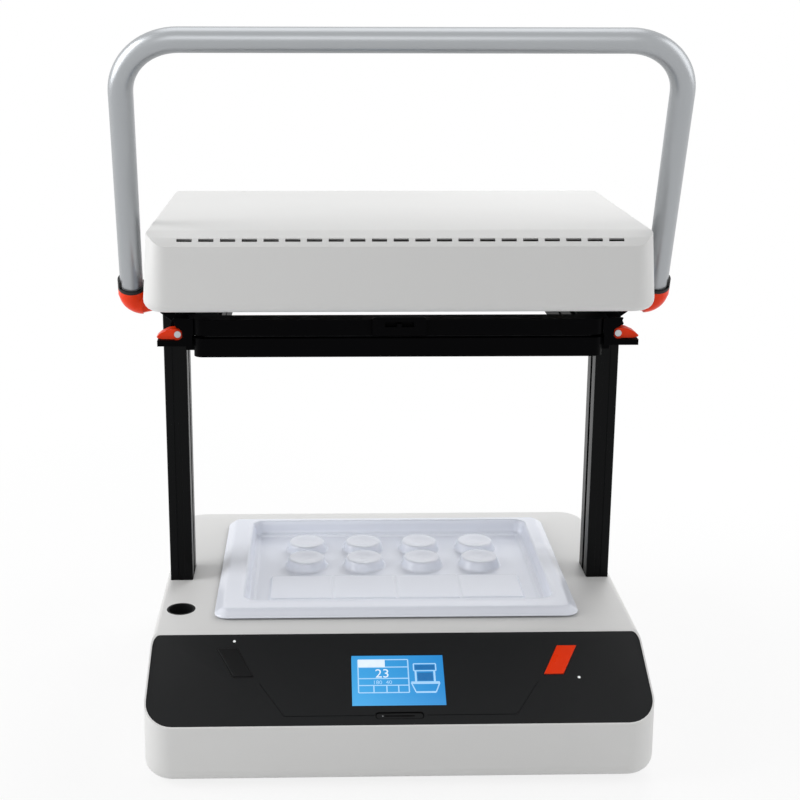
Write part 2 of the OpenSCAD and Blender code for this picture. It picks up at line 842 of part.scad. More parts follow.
// The straight runs are a hair thinner than the bends and reach a little into them
module handle_tube() color("silver") {
    lean() {
        translate([-bend_x - lap, 0, handle_rise]) rotate([0, 90, 0])
            linear_extrude(2 * (bend_x + lap)) tube_ring(hair);
        both_sides() translate([bend_x, 0, handle_rise - bend_r]) rotate([90, 0, 0])
            rotate([0, 0, leg_in]) rotate_extrude(angle = 90 - leg_in)
                translate([bend_r, 0]) tube_ring(0);
    }
    both_sides() leg() translate([0, 0, -cup_depth + 2])
        linear_extrude(leg_len + lap + cup_depth - 2) tube_ring(hair);
}

module hinge_pins() color("silver") both_sides() bench()
    translate([hinge_at - 1.5 * barrel_w - 2, clamp_hinge_y, clamp_hinge_z]) rotate([0, 90, 0])
        cylinder(d = pin_d, h = 3 * barrel_w + 4);

// Clamp frame

module upper_frame() color("black") {
    difference() {
        at_frame(upper_z) frame_ring(frame_w, frame_d, upper_h, frame_bar, 8);
        // Chamfered inner edge above the window
        at_frame(upper_z + upper_h - 3) plate(frame_w - 2 * frame_bar + 6, frame_d - 2 * frame_bar + 6, 4, 5);
    }
    hinge_barrels(false) barrel(pin_d / 2 + 0.05) barrel_web(1);
    // Lifting tab with its window and centre peg
    bench() difference() {
        translate([0, frame_y + 1, tab_top]) rotate([90, 0, 0]) linear_extrude(6)
            translate([0, -8]) {
                round_rect(tab_w, 16, 3);
                translate([0, -3]) square([tab_w, 10], center = true);
            }
        translate([0, tab_y + 3, tab_top - 6.2]) cube([tab_window_w, 20, tab_window_h], center = true);
    }
    bench() translate([-2, tab_y, tab_top - 8.4]) cube([4, 6, 3]);
}

module upper_seal() color("dimgray") at_frame(upper_z - seal_t)
    frame_ring(frame_w - 14, frame_d - 14, seal_t, frame_bar - 9, 5);

// Side plate of a latch bracket: up to the given inner edge it leaves the lever in view
module cheek_outline(open_edge) polygon([
    [half_frame, upper_z], [half_frame, upper_z + upper_h], [lever_x + 3.4, upper_z + upper_h],
    each open_edge,
    [lever_x + shelf_x, lever_z - shelf_drop], [lever_x + shelf_x, lever_z - shelf_drop - shelf_t],
    [half_frame + 1, lever_z - shelf_drop - shelf_t], [half_frame + 1, upper_z - gap]
]);

module latch_bracket() bench() {
    // Front plate, cut back round the lever
    cheek(-1) cheek_outline([
        [lever_x + 1, lever_z + 6.5], [lever_x - 4, lever_z + 4], [lever_x - 4, lever_z - 2.5],
        [lever_x - 1, lever_z - shelf_drop]
    ]);
    // Rear plate, which holds the pin
    cheek(1) difference() {
        cheek_outline([
            [lever_x + 7.6, lever_z + 5], [lever_x + 5.5, lever_z + 2],
            [lever_x + 5.5, lever_z - shelf_drop]
        ]);
        translate([lever_x, lever_z]) circle(lever_pin_d / 2);
    }
    translate([half_frame, lever_y - bracket_w / 2, upper_z]) cube([5, bracket_w, upper_h]);
    translate([lever_x + shelf_x - shelf_t, lever_y - bracket_w / 2, lever_z - shelf_drop - shelf_t])
        cube([shelf_t, bracket_w, shelf_t]);
}

module cheek(side)
    translate([0, lever_y + side * (lever_w / 2 + cheek_play + cheek_t / 2) + cheek_t / 2, 0])
        rotate([90, 0, 0]) linear_extrude(cheek_t) children();

module latch_brackets() color("black") both_sides() latch_bracket();

module latch_pins() color("whitesmoke") both_sides() bench()
    translate([lever_x, lever_y + pin_back, lever_z]) rotate([90, 0, 0]) {
        cylinder(d = lever_pin_d, h = pin_back + lever_w / 2 + gap);
        translate([0, 0, pin_back + lever_w / 2 + gap]) cylinder(d = lever_pin_d + 1.6, h = 1);
    }

// Latch lever: a thumb leaf outside its pin and a toe below it
module lever_outline() polygon([
    [-3.6, 1.5], [-4.6, -3], [-6.2, -6], [-6.2, -9.4], [-1.5, -9.4], [-0.6, -6.5], [3, -4.4],
    [13, -4.4], [16.8, -3.6], [17.8, -2.2], [14, 0.9], [8, 3.6], [2, 4.4], [-2, 3.6]
]);

module latch_lever() bench() translate([lever_x, lever_y + lever_w / 2, lever_z])
    rotate([90, 0, 0]) linear_extrude(lever_w) difference() {
        lever_outline();
        circle(lever_pin_d / 2 + 0.05);
    }

module right_lever() color("orangered") latch_lever();
module left_lever() color("orangered") mirror([1, 0, 0]) latch_lever();

// Formed sheet: flange, raised rim and a pocket with round cakes and square tiles

// The form under the sheet, grown by t on every side
module sheet_form(t) {
    rise = base_top + sheet_rim - sheet_z;
    difference() {
        union() {
            plate(sheet_w, sheet_d, sheet_z - floor_z + t, 12);
            translate([0, 0, sheet_z - floor_z])
                moulded_box(sheet_w - 2 * sheet_lip, sheet_d - 2 * sheet_lip, rise + t, 12, 3, 1, 4);
        }
        for (step = [[0, ledge_h], [ledge_w, 0]])
            translate([pocket_x, pocket_y, step[1] + t])
                moulded_box(pocket_w - 2 * step[0] - 2 * t, pocket_d - 2 * step[0] - 2 * t,
                    base_top, 10, 1, 1, -20);
    }
    for (i = [0:3], y = [14, 56])
        translate([pocket_x + (i - 1.5) * cake_pitch, y, 0])
            rotate_extrude() half_section(cake_r + t, cake_h + t, 2.5, 0.5, 1);
    for (i = [0:3])
        translate([pocket_x + (i - 1.5) * (tile + 2), -44, 0])
            plate(tile - 4 + 2 * t, tile - 4 + 2 * t, tile_h + t, 3);
}

module formed_sheet() color("aliceblue") bench() translate([sheet_x, sheet_y, floor_z])
    difference() {
        sheet_form(sheet_t);
        translate([0, 0, -eps]) sheet_form(0);
    }

base_shell();
base_pan();
rubber_feet();
base_screws();
control_fascia();
display_module();
control_board();
status_leds();
card_slot();
left_button();
right_button();
bed_plate();
bed_gasket();
vacuum_chamber();
vacuum_motor();
vacuum_hose();
power_supply();
power_inlet();
inlet_blades();
main_switch();
sensor_well();
left_column();
right_column();
column_blocks();
head_brackets();
heater_cover();
heat_insulation();
heater_reflector();
heater_elements();
element_holders();
heater_bezel();
heater_grille();
terminal_block();
lower_frame();
lower_seal();
left_slider();
right_slider();
left_arm();
right_arm();
left_socket();
right_socket();
left_socket_cup();
right_socket_cup();
handle_tube();
hinge_pins();
upper_frame();
upper_seal();
latch_brackets();
latch_pins();
left_lever();
right_lever();
formed_sheet();
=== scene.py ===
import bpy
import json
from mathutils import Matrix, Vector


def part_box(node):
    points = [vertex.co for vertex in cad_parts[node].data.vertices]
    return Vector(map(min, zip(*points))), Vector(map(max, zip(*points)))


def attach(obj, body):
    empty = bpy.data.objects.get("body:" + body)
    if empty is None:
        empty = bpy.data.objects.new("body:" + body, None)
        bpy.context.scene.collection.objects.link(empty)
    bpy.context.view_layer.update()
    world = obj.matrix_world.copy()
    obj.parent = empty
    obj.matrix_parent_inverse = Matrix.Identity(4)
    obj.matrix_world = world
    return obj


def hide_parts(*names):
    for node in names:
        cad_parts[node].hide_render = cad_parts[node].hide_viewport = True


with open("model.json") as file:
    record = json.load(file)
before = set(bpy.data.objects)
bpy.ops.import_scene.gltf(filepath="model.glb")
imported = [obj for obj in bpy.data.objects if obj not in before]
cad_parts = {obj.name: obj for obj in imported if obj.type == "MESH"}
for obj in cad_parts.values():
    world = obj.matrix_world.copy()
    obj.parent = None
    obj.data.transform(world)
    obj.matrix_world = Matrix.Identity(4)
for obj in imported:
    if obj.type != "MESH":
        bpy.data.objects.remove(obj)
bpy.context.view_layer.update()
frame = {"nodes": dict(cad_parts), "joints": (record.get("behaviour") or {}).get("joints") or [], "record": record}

import json
import math
import bmesh
import bpy
import numpy as np
from mathutils import Euler, Matrix, Vector

mm = 0.001
record = frame["record"]
slotOf = {part["node"]: part["material_slot"] for part in record["subparts"]}
bodyOf = {node: body for body, nodes in record["behaviour"]["bodies"].items() for node in nodes}
print("frame loaded:", len(slotOf), "nodes")


# Colours and shader nodes

def linear(hexColour):
    channels = [int(hexColour[i:i + 2], 16) / 255 for i in (1, 3, 5)]
    return [c / 12.92 if c <= 0.04045 else ((c + 0.055) / 1.055) ** 2.4 for c in channels] + [1]


def addNode(tree, kind, inputs={}, **settings):
    node = tree.nodes.new("ShaderNode" + kind)
    for name, value in settings.items():
        setattr(node, name, value)
    for name, value in inputs.items():
        if isinstance(value, bpy.types.NodeSocket):
            tree.links.new(value, node.inputs[name])
        else:
            node.inputs[name].default_value = value
    return node


def newFinish(name, sockets):
    finish = bpy.data.materials.new(name)
    finish.use_nodes = True
    shader = finish.node_tree.nodes["Principled BSDF"]
    for socket, value in sockets.items():
        shader.inputs[socket].default_value = value
    return finish, finish.node_tree, shader


# A pattern as large as the real one, in millimetres, from the place on the object
def pattern(tree, sizeMm, detail=2.0, stretch=(1, 1, 1)):
    place = addNode(tree, "TexCoord")
    scaled = addNode(tree, "Mapping", {"Vector": place.outputs["Object"], "Scale": stretch})
    return addNode(tree, "TexNoise", {"Vector": scaled.outputs["Vector"],
                                      "Scale": 1 / (sizeMm * mm), "Detail": detail})


# Two close tones and a slightly uneven gloss over the surface, and a grain in the relief
# Real grains finer than about 1 mm are drawn at 1 mm or a little more, so that they show
grainStrength = 0.6


def weathered(tree, shader, colour, drift, driftMm, gloss, grainMm, grainDepthMm, stretch=(1, 1, 1)):
    cloud = pattern(tree, driftMm)
    dark = [c * (1 - drift) for c in linear(colour)[:3]] + [1]
    tone = addNode(tree, "MixRGB", {"Fac": cloud.outputs["Fac"], "Color1": linear(colour), "Color2": dark})
    tree.links.new(tone.outputs["Color"], shader.inputs["Base Color"])
    rub = addNode(tree, "MapRange", {"Value": cloud.outputs["Fac"], "To Min": gloss[0], "To Max": gloss[1]})
    tree.links.new(rub.outputs["Result"], shader.inputs["Roughness"])
    grain = pattern(tree, grainMm, 3.0, stretch)
    relief = addNode(tree, "Bump", {"Height": grain.outputs["Fac"], "Distance": grainDepthMm * mm,
                                    "Strength": grainStrength})
    tree.links.new(relief.outputs["Normal"], shader.inputs["Normal"])


# Moulded ABS with a fine spark-eroded grain, really 0.2 mm: a broad, soft highlight
def whiteHousingAbs():
    finish, tree, shader = newFinish("mouldedWhiteAbs", {"IOR": 1.53, "Specular IOR Level": 0.45})
    weathered(tree, shader, "#E3E3E2", 0.025, 90, (0.38, 0.46), 1.4, 0.02)
    return finish


# Moulded black ABS with a coarser grain: looks dry and dark grey where light grazes it
def panelAbs():
    finish, tree, shader = newFinish("texturedBlackAbs", {"IOR": 1.5, "Specular IOR Level": 0.15})
    weathered(tree, shader, "#1A1B1C", 0.12, 40, (0.5, 0.6), 1.2, 0.05)
    return finish


# ABS from a polished mould in bright orange: a clear highlight on the rounded edges
def orangeAbs():
    finish, tree, shader = newFinish("glossOrangeAbs", {"IOR": 1.5, "Specular IOR Level": 0.2})
    weathered(tree, shader, "#FA3A06", 0.08, 14, (0.24, 0.34), 2.2, 0.015)
    return finish


# Satin black ABS keys: smoother than the panel, so they stand out a little
def keyAbs():
    finish, tree, shader = newFinish("satinBlackAbs", {"IOR": 1.5, "Specular IOR Level": 0.2})
    weathered(tree, shader, "#0E0F10", 0.1, 12, (0.34, 0.42), 1.6, 0.02)
    return finish


# Black anodised extrusion: die lines along the length draw the reflections into streaks
def anodisedAluminium():
    finish, tree, shader = newFinish("anodisedBlackAluminium", {"Metallic": 0.3, "Specular IOR Level": 0.12})
    weathered(tree, shader, "#070809", 0.15, 60, (0.3, 0.4), 1.1, 0.03, (1, 1, 0.02))
    return finish


# Cast aluminium with black powder coat: a slight orange peel, 2 mm across
def powderCoat():
    finish, tree, shader = newFinish("powderCoatedAluminium", {"IOR": 1.5, "Specular IOR Level": 0.03})
    weathered(tree, shader, "#020203", 0.1, 30, (0.4, 0.5), 2.0, 0.06)
    return finish


# Satin anodised tube: light grey with one broad, soft highlight along its round side
def satinAnodisedTube():
    finish, tree, shader = newFinish("satinAnodisedAluminium", {"Metallic": 0.8})
    weathered(tree, shader, "#A9ACAF", 0.05, 70, (0.3, 0.36), 2.4, 0.006)
    return finish


# Zinc-plated steel: a clear, slightly blotched metal
def zincSteel():
    finish, tree, shader = newFinish("zincPlatedSteel", {"Metallic": 1.0})
    weathered(tree, shader, "#B9BCBF", 0.18, 7, (0.28, 0.42), 1.2, 0.02)
    return finish


# Milled aluminium plate: fine cutter lines in one direction
def milledAluminium():
    finish, tree, shader = newFinish("milledAluminium", {"Metallic": 1.0})
    weathered(tree, shader, "#C2C4C6", 0.1, 25, (0.3, 0.4), 0.9, 0.03, (1, 0.04, 1))
    return finish


# Silicone sponge seal: matt with fine closed pores
def siliconeRubber():
    finish, tree, shader = newFinish("siliconeSponge", {"IOR": 1.41, "Specular IOR Level": 0.3})
    weathered(tree, shader, "#3A3B3D", 0.15, 6, (0.6, 0.75), 0.8, 0.12)
    return finish


# Black rubber foot: matt and dusty
def footRubber():
    finish, tree, shader = newFinish("mouldedBlackRubber", {"IOR": 1.52, "Specular IOR Level": 0.25})
    weathered(tree, shader, "#1B1B1B", 0.25, 8, (0.7, 0.85), 1.0, 0.08)
    return finish


# Black nylon slider and liner: waxy, between matt and gloss
def blackNylon():
    finish, tree, shader = newFinish("mouldedBlackNylon", {"IOR": 1.53, "Specular IOR Level": 0.3})
    weathered(tree, shader, "#0D0D0E", 0.12, 10, (0.38, 0.5), 1.5, 0.03)
    return finish


# Grey-painted sheet steel
def greyPaint():
    finish, tree, shader = newFinish("greyPaintedSteel", {"IOR": 1.5})
    weathered(tree, shader, "#6A6C6E", 0.06, 35, (0.38, 0.5), 2.0, 0.04)
    return finish


# Unglazed steatite: pale cream and dry
def steatite():
    finish, tree, shader = newFinish("unglazedSteatite", {"IOR": 1.55, "Specular IOR Level": 0.3})
    weathered(tree, shader, "#E2D8C4", 0.1, 9, (0.6, 0.75), 0.9, 0.06)
    return finish


# Ceramic fibre board: soft, cut edges, loose fibre
def fibreBoard():
    finish, tree, shader = newFinish("ceramicFibreBoard", {"IOR": 1.45, "Specular IOR Level": 0.1})
    weathered(tree, shader, "#E4DFD2", 0.15, 18, (0.85, 0.95), 1.4, 0.25)
    return finish


# Infrared element: satin brown-grey oxide, spotted
def heaterElement():
    finish, tree, shader = newFinish("oxidisedInfraredElement", {"IOR": 1.5})
    weathered(tree, shader, "#6E584A", 0.35, 5, (0.42, 0.6), 1.0, 0.04)
    return finish


# Circuit board: green solder mask over copper
def solderMask():
    finish, tree, shader = newFinish("greenSolderMask", {"IOR": 1.5, "Coat Weight": 0.3})
    weathered(tree, shader, "#1B5A34", 0.25, 3, (0.25, 0.35), 0.8, 0.02)
    return finish


# Thermoformed sheet: bluish white, satin, with soft highlights on its folds
def thermoformedSheet():
    finish, tree, shader = newFinish("thermoformedPolystyrene", {"IOR": 1.56, "Specular IOR Level": 0.5})
    weathered(tree, shader, "#F1F5FF", 0.02, 60, (0.2, 0.28), 12, 0.05)
    return finish


# Backlit display: brighter towards its lower left corner, where its lamp sits
screenGlow = {"lampM": (-0.045, -0.165, 0.062), "reachM": (0.01, 0.09), "near": "#4AACE6", "far": "#2F8CCF",
              "strength": 0.95}


def backlitScreen():
    finish, tree, shader = newFinish("backlitBlueScreen", {"Roughness": 0.16, "IOR": 1.5,
                                                           "Base Color": linear("#0A2E58")})
    place = addNode(tree, "TexCoord")
    away = addNode(tree, "VectorMath", {0: place.outputs["Object"], 1: screenGlow["lampM"]},
                   operation="DISTANCE")
    near, far = screenGlow["reachM"]
    ramp = addNode(tree, "MapRange", {"Value": away.outputs["Value"], "From Min": near, "From Max": far})
    glow = addNode(tree, "MixRGB", {"Fac": ramp.outputs["Result"], "Color1": linear(screenGlow["near"]),
                                    "Color2": linear(screenGlow["far"])})
    tree.links.new(glow.outputs["Color"], shader.inputs["Emission Color"])
    shader.inputs["Emission Strength"].default_value = screenGlow["strength"]
    return finish


# Lit marks on the display
def litMark(name, colour, strength):
    finish, tree, shader = newFinish(name, {"Roughness": 0.3, "Base Color": linear("#20507A"),
                                            "Emission Strength": strength})
    cloud = pattern(tree, 5)
    dim = [c * 0.85 for c in linear(colour)[:3]] + [1]
    tone = addNode(tree, "MixRGB", {"Fac": cloud.outputs["Fac"], "Color1": linear(colour), "Color2": dim})
    tree.links.new(tone.outputs["Color"], shader.inputs["Emission Color"])
    return finish


# Clear acrylic light pipe, lit faintly from below
def lightPipe():
    finish, tree, shader = newFinish("clearAcrylicPipe", {"IOR": 1.49, "Emission Strength": 0.35,
                                                          "Emission Color": linear("#FFFFFF")})
    weathered(tree, shader, "#DFE4E2", 0.06, 2, (0.1, 0.2), 1.0, 0.01)
    return finish


finishes = {
    "white_abs": whiteHousingAbs(), "black_abs": panelAbs(), "orange_abs": orangeAbs(),
    "black_button": keyAbs(), "anodised_black": anodisedAluminium(), "painted_black": powderCoat(),
    "silver_tube": satinAnodisedTube(), "steel": zincSteel(), "aluminium_plate": milledAluminium(),
    "rubber_black": footRubber(), "silicone": siliconeRubber(), "ceramic": steatite(),
    "fibre": fibreBoard(), "quartz": heaterElement(), "pcb": solderMask(), "lcd": backlitScreen(),
    "led": lightPipe(), "casing": greyPaint(), "nylon": blackNylon(), "sheet": thermoformedSheet(),
}
print("finishes made:", len(finishes))


# Pieces

def addPiece(name, mesh, body, slot, finish=None):
    piece = bpy.data.objects.new(name, mesh)
    bpy.context.collection.objects.link(piece)
    piece.data.materials.clear()
    piece.data.materials.append(finish or finishes[slot])
    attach(piece, body)
    return piece


# The housings and castings again, with their small edges broken as on the real ones
softEdges = {
    "smoothBelow": 32,          # degrees; flatter joins between faces are shaded as one curve
    "flatBelow": 0.5,           # degrees; faces this flat to each other become one
    "mergeMm": 0.001,
    "segments": 3,
    "edgeMm": {
        "base_shell": 0.5, "heater_cover": 0.4, "control_fascia": 0.35, "lower_frame": 0.8,
        "upper_frame": 0.7, "left_arm": 1.0, "right_arm": 1.0, "left_lever": 1.1,
        "right_lever": 1.1, "latch_brackets": 0.5, "left_button": 0.3, "right_button": 0.3,
        "left_column": 0.3, "right_column": 0.3, "left_slider": 0.5, "right_slider": 0.5,
        "left_socket": 0.35, "right_socket": 0.35, "left_socket_cup": 0.25,
        "right_socket_cup": 0.25, "power_inlet": 0.4, "main_switch": 0.3, "sensor_well": 0.25,
        "bed_gasket": 0.4, "rubber_feet": 0.5, "base_pan": 0.3, "handle_tube": 0.0,
    },
}


def softened(node, edgeMm):
    mesh = frame["nodes"][node].data.copy()
    shape = bmesh.new()
    shape.from_mesh(mesh)
    bmesh.ops.remove_doubles(shape, verts=shape.verts, dist=softEdges["mergeMm"] * mm)
    bmesh.ops.dissolve_limit(shape, angle_limit=math.radians(softEdges["flatBelow"]),
                             verts=shape.verts, edges=shape.edges)
    bmesh.ops.recalc_face_normals(shape, faces=shape.faces)
    for face in shape.faces:
        face.smooth = True
    shape.to_mesh(mesh)
    shape.free()
    if "custom_normal" in mesh.attributes:
        mesh.attributes.remove(mesh.attributes["custom_normal"])
    mesh.set_sharp_from_angle(angle=math.radians(softEdges["smoothBelow"]))
    piece = addPiece(node + "_finished", mesh, bodyOf[node], slotOf[node])
    if edgeMm:
        rounding = piece.modifiers.new("edges", "BEVEL")
        rounding.width = edgeMm * mm
        rounding.segments = softEdges["segments"]
        rounding.limit_method = "ANGLE"
        rounding.angle_limit = math.radians(softEdges["smoothBelow"])
        rounding.harden_normals = True
        rounding.use_clamp_overlap = True
    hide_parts(node)
    return piece


# Painted shade: the inside of the head, seen through its slots, is coloured near black to stand in for the shade
# in the hollow head
def paintedShadeInsideHead():
    finish, tree, shader = newFinish("paintedShadeInsideHead", {"IOR": 1.5, "Specular IOR Level": 0.05})
    weathered(tree, shader, "#070707", 0.2, 20, (0.7, 0.8), 1.5, 0.05)
    return finish


# Faces that look towards the middle of their piece, which take the painted shade
def paintShadeOnInnerFaces(piece, middle, finish):
    piece.data.materials.append(finish)
    for face in piece.data.polygons:
        if face.normal.dot(middle - face.center) > 0:
            face.material_index = 1


for node, held in frame["nodes"].items():
    held.data.materials.clear()
    held.data.materials.append(finishes[slotOf[node]])
for node, edgeMm in softEdges["edgeMm"].items():
    softened(node, edgeMm)
# The inner faces of the head cover get the near-black painted shade
paintShadeOnInnerFaces(bpy.data.objects["heater_cover_finished"], sum(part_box("heater_cover"), Vector()) / 2,
              paintedShadeInsideHead())
print("castings and housings finished:", len(softEdges["edgeMm"]))


# Formed sheet: a raised border round a pocket with eight cakes and four tiles
sheetForm = {
    "stepMm": 1.0, "thicknessMm": 1.2, "topGapMm": 0.3,         # grid, wall, and room under the box's top
    "cornerMm": 12, "skirtMm": 9, "skirtDropMm": 5.6, "skirtCurve": 0.8,
    "pocketMm": (282, 198), "pocketCornerMm": 11, "pocketShiftMm": (3, 5), "wallMm": (-0.6, 3.6),
    "ledgeMm": (7, 9), "ledgeRiseMm": 1.3, "beadMm": 1.6, "beadRiseMm": 0.5,
    "cakeMm": 19.6, "cakeSlopeMm": (2.6, 1.2), "cakeRiseMm": 9, "cakePitchMm": 57, "cakeRowsMm": (14, 56),
    "dishMm": 1.4, "dishRimMm": (3, 4),
    "tileMm": (238, 54), "tileCornerMm": 3, "tileSlopeMm": (-1, 0.8), "tileRowMm": -44, "tileRiseMm": 2.8,
    "tilePitchMm": 60, "tileGrooveMm": (1.1, 0.9),              # half width and depth
    "creaseMm": 0.45, "creaseWaveMm": 5.2, "creaseAtMm": (18, 30), "creaseLongMm": 24, "creaseInMm": (24, 13),
}


def smoothStep(value, low, high):
    t = np.clip((value - low) / (high - low), 0, 1)
    return t * t * (3 - 2 * t)


# How far a point lies inside a rectangle with round corners
def inside(x, y, size, corner):
    dx = np.abs(x) - size[0] / 2 + corner
    dy = np.abs(y) - size[1] / 2 + corner
    return corner - np.hypot(np.maximum(dx, 0), np.maximum(dy, 0)) - np.minimum(np.maximum(dx, dy), 0)


def sheetHeight(x, y, size, form, top, floor):
    pocketX, pocketY = x - form["pocketShiftMm"][0], y - form["pocketShiftMm"][1]
    fromEdge = inside(x, y, size, form["cornerMm"])
    border = top - form["skirtDropMm"] * (1 - smoothStep(fromEdge, -1, form["skirtMm"]) ** form["skirtCurve"])
    # Creases across the right-hand border, left by the sheet as it cooled
    start, middle = form["creaseAtMm"]
    crease = form["creaseMm"] * np.sin((y - start) / form["creaseWaveMm"]) \
        * np.exp(-((y - middle) / form["creaseLongMm"]) ** 2)
    border = border + crease * smoothStep(x, *(size[0] / 2 - inward for inward in form["creaseInMm"])) \
        * smoothStep(fromEdge, 0.5, 7)
    inPocket = inside(pocketX, pocketY, form["pocketMm"], form["pocketCornerMm"])
    bead = form["beadRiseMm"] * np.exp(-((inPocket + form["beadMm"]) / form["beadMm"]) ** 2)
    height = border + bead
    base = floor + form["ledgeRiseMm"] * (1 - smoothStep(inPocket, *form["ledgeMm"]))
    cakeIn, cakeOut = form["cakeSlopeMm"]
    dishFlat, dishRim = form["dishRimMm"]
    for row in form["cakeRowsMm"]:
        for i in range(4):
            away = np.hypot(pocketX - (i - 1.5) * form["cakePitchMm"], pocketY - row)
            cake = floor + form["cakeRiseMm"] * (1 - smoothStep(away, form["cakeMm"] - cakeIn,
                                                                form["cakeMm"] + cakeOut))
            dish = form["dishMm"] * (1 - smoothStep(away, dishFlat, form["cakeMm"] - dishRim))
            base = np.maximum(base, cake - dish)
    onTile = inside(pocketX, pocketY - form["tileRowMm"], form["tileMm"], form["tileCornerMm"])
    tile = floor + form["tileRiseMm"] * smoothStep(onTile, *form["tileSlopeMm"])
    grooveWidth, grooveDepth = form["tileGrooveMm"]
    for i in (-1, 0, 1):
        groove = np.exp(-((pocketX - i * form["tilePitchMm"]) / grooveWidth) ** 2)
        tile = tile - grooveDepth * groove * smoothStep(onTile, -0.5, 1)
    base = np.maximum(base, tile)
    down = smoothStep(inPocket, *form["wallMm"])
    return height * (1 - down) + base * down


def formedSheet(form):
    low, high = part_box("formed_sheet")
    middle = (low + high) / 2
    size = ((high.x - low.x) / mm, (high.y - low.y) / mm)
    top = high.z / mm - form["beadRiseMm"] - form["topGapMm"]
    floor = low.z / mm + form["thicknessMm"]
    across = np.linspace(-size[0] / 2, size[0] / 2, int(size[0] / form["stepMm"]))
    along = np.linspace(-size[1] / 2, size[1] / 2, int(size[1] / form["stepMm"]))
    x, y = np.meshgrid(across, along, indexing="ij")
    # The square corners of the grid are drawn in to the round corners of the sheet
    corner = form["cornerMm"]
    dx = np.maximum(np.abs(x) - size[0] / 2 + corner, 0)
    dy = np.maximum(np.abs(y) - size[1] / 2 + corner, 0)
    both = (dx > 0) & (dy > 0)
    pull = np.where(both, np.maximum(dx, dy) / np.maximum(np.hypot(dx, dy), 1e-9), 1)
    x = np.where(both, np.sign(x) * (size[0] / 2 - corner + dx * pull), x)
    y = np.where(both, np.sign(y) * (size[1] / 2 - corner + dy * pull), y)
    z = sheetHeight(x, y, size, form, top, floor)
    rows, columns = x.shape
    upper = np.stack([x, y, z], -1).reshape(-1, 3)
    lower = upper - [0, 0, form["thicknessMm"]]
    points = np.vstack([upper, lower]) * mm + [middle.x, middle.y, 0]
    count = rows * columns
    index = np.arange(count).reshape(rows, columns)
    quads = np.stack([index[:-1, :-1], index[1:, :-1], index[1:, 1:], index[:-1, 1:]], -1).reshape(-1, 4)
    rim = np.concatenate([index[:, 0], index[-1, 1:], index[-2::-1, -1], index[0, -2:0:-1]])
    following = np.roll(rim, -1)
    walls = np.stack([rim, rim + count, following + count, following], -1)
    faces = np.vstack([quads, quads[:, ::-1] + count, walls])
    mesh = bpy.data.meshes.new("formedSheet")
    mesh.from_pydata(points.tolist(), [], faces.tolist())
    mesh.shade_smooth()
    mesh.set_sharp_from_angle(angle=math.radians(60))
    piece = addPiece("formed_sheet_finished", mesh, "sheet", "sheet")
    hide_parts("formed_sheet")


formedSheet(sheetForm)
print("sheet formed")


# The glass of the display lies in the slope that the buttons are pressed into
pressAxis = next(Vector(j["axis"]) for j in frame["joints"] if j["name"] == "right_button_press").normalized()
upSlope = Vector((0, pressAxis.z, -pressAxis.y))
glassPoints = [frame["nodes"]["display_module"].matrix_world @ v.co
               for v in frame["nodes"]["display_module"].data.vertices]
glassOut = max(p.dot(pressAxis) for p in glassPoints)
glassRim = [p for p in glassPoints if p.dot(pressAxis) > glassOut - 0.05 * mm]
glassLeft, glassTop = min(p.x for p in glassRim), max(p.dot(upSlope) for p in glassRim)


# From the glass's upper left corner: to the right, down the slope and out of it, in millimetres
def onGlass(left, down, out):
    return Vector((glassLeft + left * mm, 0, 0)) + upSlope * (glassTop - down * mm) \
        + pressAxis * (glassOut + out * mm)


# Display: a table with a lit tab, a reading, and a small picture of the machine, in millimetres
screen = {
    "line": 1.1, "lift": 0.05, "table": (5.4, 4.3, 48.3, 38.4), "rules": (12.1, 23.9, 31), "tab": 28.5,
    "cells": (13, 24, 34), "reading": ("23", 12.5, 19.7, 22.9), "settings": ("180  40", 5.4, 17.6, 29.7),
    "head": (53.0, 8.9, 72.0, 16.2), "bed": 28.6, "foot": 38.2, "overhang": 2.6,
    "columnIn": 1.5, "footIn": 1, "thicker": {"columns": 1.5, "bed": 2.4, "foot": 1.6},
    "headShade": (1, 1.4, 1.2), "gapShade": (3, 2, 2),          # in from the sides, from above and from below
}


def bar(start, end, width):
    (x0, y0), (x1, y1) = start, end
    length = math.hypot(x1 - x0, y1 - y0)
    nx, ny = (y1 - y0) / length * width / 2, -(x1 - x0) / length * width / 2
    return [(x0 + nx, y0 + ny), (x0 - nx, y0 - ny), (x1 - nx, y1 - ny), (x1 + nx, y1 + ny)]


def frameOf(left, top, right, low, width):
    corners = [(left, top), (right, top), (right, low), (left, low)]
    return [bar(corners[i], corners[(i + 1) % 4], width) for i in range(4)]


def patch(left, top, right, low):
    return [(left, top), (left, low), (right, low), (right, top)]


def lit(name, outlines, lift, finish):
    mesh = bpy.data.meshes.new(name)
    points = [onGlass(*point, lift) for outline in outlines for point in outline]
    counts = np.cumsum([0] + [len(outline) for outline in outlines])
    mesh.from_pydata(points, [], [list(range(a, b)) for a, b in zip(counts, counts[1:])])
    addPiece(name, mesh, "machine", "lcd", finish)


def numerals(name, text, size, left, down, lift, finish):
    curve = bpy.data.curves.new(name, "FONT")
    curve.body = text
    curve.size = size * mm
    curve.resolution_u = 4
    holder = bpy.data.objects.new(name, curve)
    bpy.context.collection.objects.link(holder)
    bpy.context.view_layer.update()
    mesh = bpy.data.meshes.new_from_object(holder.evaluated_get(bpy.context.evaluated_depsgraph_get()))
    bpy.data.objects.remove(holder)
    turn = Matrix((Vector((1, 0, 0)), upSlope, pressAxis)).transposed().to_4x4()
    mesh.transform(Matrix.Translation(onGlass(left, down, lift)) @ turn)
    addPiece(name, mesh, "machine", "lcd", finish)


